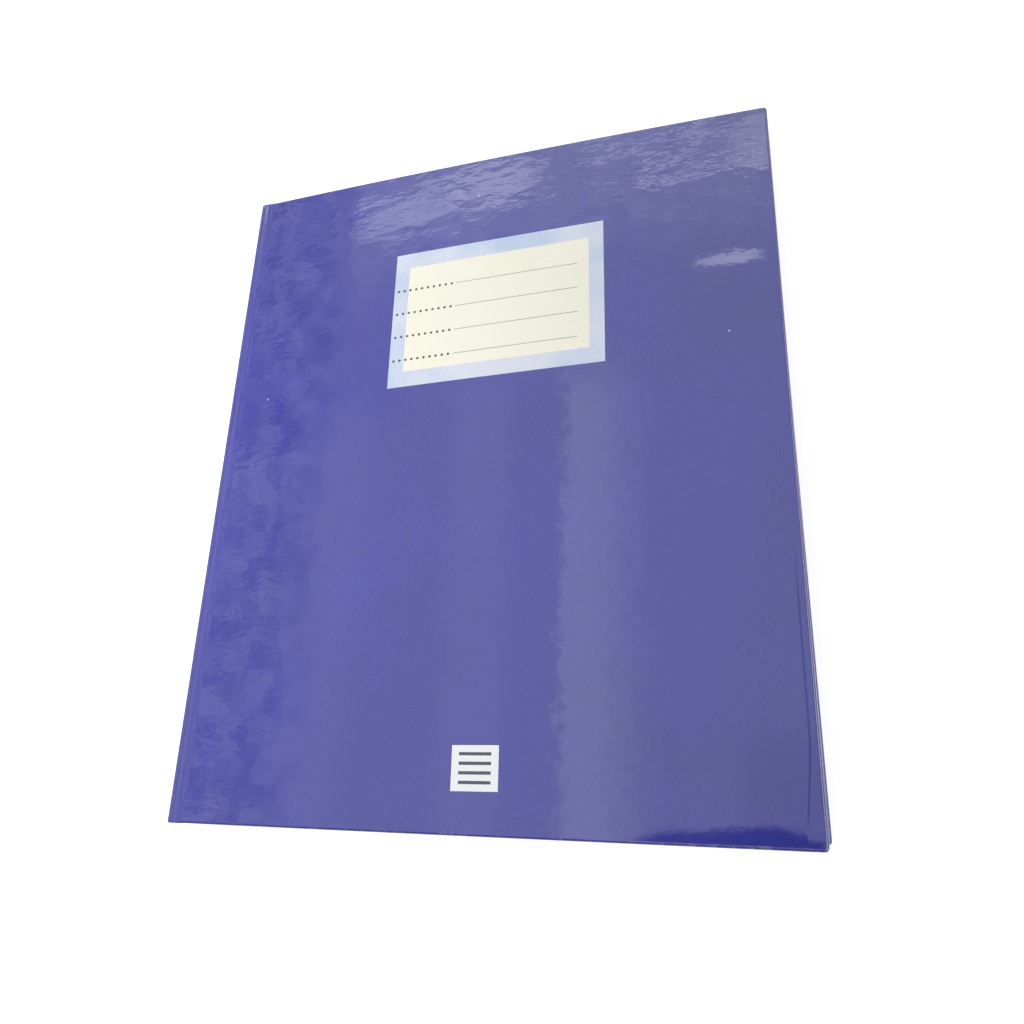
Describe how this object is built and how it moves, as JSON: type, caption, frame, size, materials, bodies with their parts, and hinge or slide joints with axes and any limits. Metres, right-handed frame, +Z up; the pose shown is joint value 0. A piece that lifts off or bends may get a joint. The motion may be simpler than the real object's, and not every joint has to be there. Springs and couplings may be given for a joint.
{
  "type": "hardcover notebook",
  "caption": "Sewn hardcover notebook with a glossy laminated case, flat spine, pressed joints and ruled pages; cover, spine and page sections open together and lie flat.",
  "frame": {"origin": "under the middle of the closed cover, on the face of the back cover that lies on the table", "axes": "+X from the spine to the fore-edge, +Y from the tail to the head, +Z up out of the front cover"},
  "size_m": [0.172, 0.206, 0.0142],
  "materials": {
    "laminate": "gloss",
    "board": "matte",
    "endpaper": "matte",
    "page": "matte",
    "thread": "matte",
    "glue": "satin",
    "gauze": "matte",
    "kraft": "matte"
  },
  "bodies": {
    "back_cover": {"back_cover_paper": "laminate", "back_board": "board", "back_pastedown": "endpaper"},
    "spine": {"spine_cover_paper": "laminate", "spine_card": "board"},
    "front_cover": {"front_cover_paper": "laminate", "front_board": "board", "front_pastedown": "endpaper"},
    "section_10": {"section_10": "page", "back_flyleaf": "endpaper"},
    "section_09": {"section_09": "page"},
    "section_08": {"section_08": "page"},
    "section_07": {"section_07": "page"},
    "section_06": {"section_06": "page", "sewing_thread": "thread", "spine_glue": "glue", "spine_mull": "gauze", "spine_lining": "kraft"},
    "section_05": {"section_05": "page"},
    "section_04": {"section_04": "page"},
    "section_03": {"section_03": "page"},
    "section_02": {"section_02": "page"},
    "section_01": {"section_01": "page", "front_flyleaf": "endpaper"}
  },
  "joints": [
    {"name": "front_cover_hinge", "type": "hinge", "parent": "spine", "child": "front_cover", "pos_m": [-0.086, 0, 0.01424], "axis": [0, -1, 0], "range_deg": [0, 90]},
    {"name": "spine_hinge", "type": "hinge", "parent": "back_cover", "child": "spine", "pos_m": [-0.086, 0, 0], "axis": [0, -1, 0], "range_deg": [0, 90]},
    {"name": "page_block_hinge", "type": "hinge", "parent": "spine", "child": "section_10", "pos_m": [-0.08112, 0, 0.00488], "axis": [0, -1, 0], "range_deg": [-90, 0]},
    {"name": "section_09_fold", "type": "hinge", "parent": "section_10", "child": "section_09", "pos_m": [-0.08335, 0, 0.0036], "axis": [0, -1, 0], "range_deg": [0, 1.5]},
    {"name": "section_08_fold", "type": "hinge", "parent": "section_09", "child": "section_08", "pos_m": [-0.08335, 0, 0.00448], "axis": [0, -1, 0], "range_deg": [0, 1.5]},
    {"name": "section_07_fold", "type": "hinge", "parent": "section_08", "child": "section_07", "pos_m": [-0.08335, 0, 0.00536], "axis": [0, -1, 0], "range_deg": [0, 1.5]},
    {"name": "section_06_fold", "type": "hinge", "parent": "section_07", "child": "section_06", "pos_m": [-0.08335, 0, 0.00624], "axis": [0, -1, 0], "range_deg": [0, 1.5]},
    {"name": "section_05_fold", "type": "hinge", "parent": "section_06", "child": "section_05", "pos_m": [-0.08335, 0, 0.00712], "axis": [0, -1, 0], "range_deg": [0, 168], "deforming": ["sewing_thread", "spine_glue", "spine_mull", "spine_lining"]},
    {"name": "section_04_fold", "type": "hinge", "parent": "section_05", "child": "section_04", "pos_m": [-0.08335, 0, 0.008], "axis": [0, -1, 0], "range_deg": [0, 1.5]},
    {"name": "section_03_fold", "type": "hinge", "parent": "section_04", "child": "section_03", "pos_m": [-0.08335, 0, 0.00888], "axis": [0, -1, 0], "range_deg": [0, 1.5]},
    {"name": "section_02_fold", "type": "hinge", "parent": "section_03", "child": "section_02", "pos_m": [-0.08335, 0, 0.00976], "axis": [0, -1, 0], "range_deg": [0, 1.5]},
    {"name": "section_01_fold", "type": "hinge", "parent": "section_02", "child": "section_01", "pos_m": [-0.08335, 0, 0.01064], "axis": [0, -1, 0], "range_deg": [0, 1.5]}
  ],
  "couplings": [
    {"joint": "spine_hinge", "follows": "front_cover_hinge", "ratio": 1},
    {"joint": "page_block_hinge", "follows": "front_cover_hinge", "ratio": -1},
    {"joint": "section_09_fold", "follows": "front_cover_hinge", "ratio": 0.016666},
    {"joint": "section_08_fold", "follows": "front_cover_hinge", "ratio": 0.016666},
    {"joint": "section_07_fold", "follows": "front_cover_hinge", "ratio": 0.016666},
    {"joint": "section_06_fold", "follows": "front_cover_hinge", "ratio": 0.016666},
    {"joint": "section_05_fold", "follows": "front_cover_hinge", "ratio": 1.8667},
    {"joint": "section_04_fold", "follows": "front_cover_hinge", "ratio": 0.016666},
    {"joint": "section_03_fold", "follows": "front_cover_hinge", "ratio": 0.016666},
    {"joint": "section_02_fold", "follows": "front_cover_hinge", "ratio": 0.016666},
    {"joint": "section_01_fold", "follows": "front_cover_hinge", "ratio": 0.016666}
  ]
}
